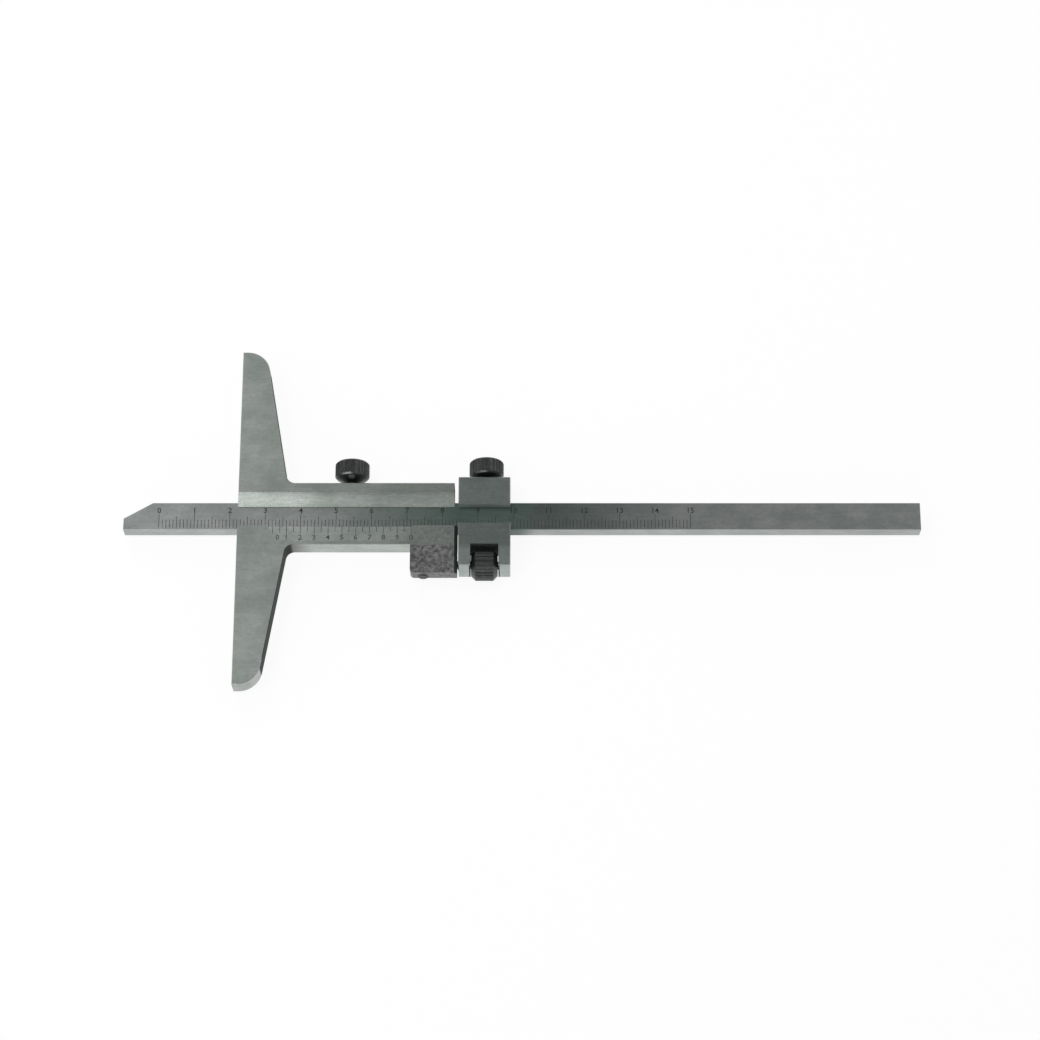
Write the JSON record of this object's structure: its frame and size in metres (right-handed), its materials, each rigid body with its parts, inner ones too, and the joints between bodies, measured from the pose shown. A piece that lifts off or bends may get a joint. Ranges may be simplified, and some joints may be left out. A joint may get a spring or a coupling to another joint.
{
  "type": "depth caliper",
  "caption": "Vernier depth caliper with a tapering two-armed base, a graduated beam with a bevelled tip, a lock screw and a knurled fine adjustment.",
  "frame": {"origin": "on the measuring face of the base, on the beam's centre line, at the back edge of the base", "axes": "+X along the beam from the measuring tip to its rear end, +Y along the base towards the lock screw, +Z out of the graduated face"},
  "size_m": [0.225, 0.1, 0.0102],
  "materials": {
    "beam_steel": "satin ground, engraved scale",
    "base_steel": "satin ground",
    "carrier_steel": "satin ground",
    "black_steel": "blackened and oiled",
    "screw_steel": "plain turned",
    "gib_brass": "plain"
  },
  "bodies": {
    "base": {"base_slide": "base_steel", "slide_gib": "gib_brass", "gib_screw_front": "screw_steel", "gib_screw_rear": "screw_steel", "adjusting_screw": "screw_steel", "lug_set_screw": "black_steel"},
    "beam": {"beam": "beam_steel"},
    "lock_screw": {"lock_screw": "black_steel"},
    "carrier": {"fine_adjust_carrier": "carrier_steel", "carrier_gib": "gib_brass"},
    "clamp_screw": {"clamp_screw": "black_steel"},
    "nut": {"adjusting_nut": "black_steel"}
  },
  "joints": [
    {"name": "beam_slide", "type": "slide", "parent": "base", "child": "beam", "axis": [-1, 0, 0], "range_m": [-0.03225, 0.11775]},
    {"name": "lock_screw_turn", "type": "hinge", "parent": "base", "child": "lock_screw", "pos_m": [0.03195, 0, 0.0032], "axis": [0, 1, 0], "range_deg": [0, 360]},
    {"name": "carrier_slide", "type": "slide", "parent": "base", "child": "carrier", "axis": [1, 0, 0], "range_m": [-0.0002, 0.005]},
    {"name": "nut_spin", "type": "hinge", "parent": "carrier", "child": "nut", "pos_m": [0.06963, -0.0139, 0.0032], "axis": [1, 0, 0], "range_deg": [-144, 3600]},
    {"name": "clamp_screw_turn", "type": "hinge", "parent": "carrier", "child": "clamp_screw", "pos_m": [0.07015, 0, 0.0032], "axis": [0, 1, 0], "range_deg": [0, 360]}
  ],
  "couplings": [
    {"joint": "nut_spin", "follows": "carrier_slide", "rad_per_m": 12566}
  ]
}
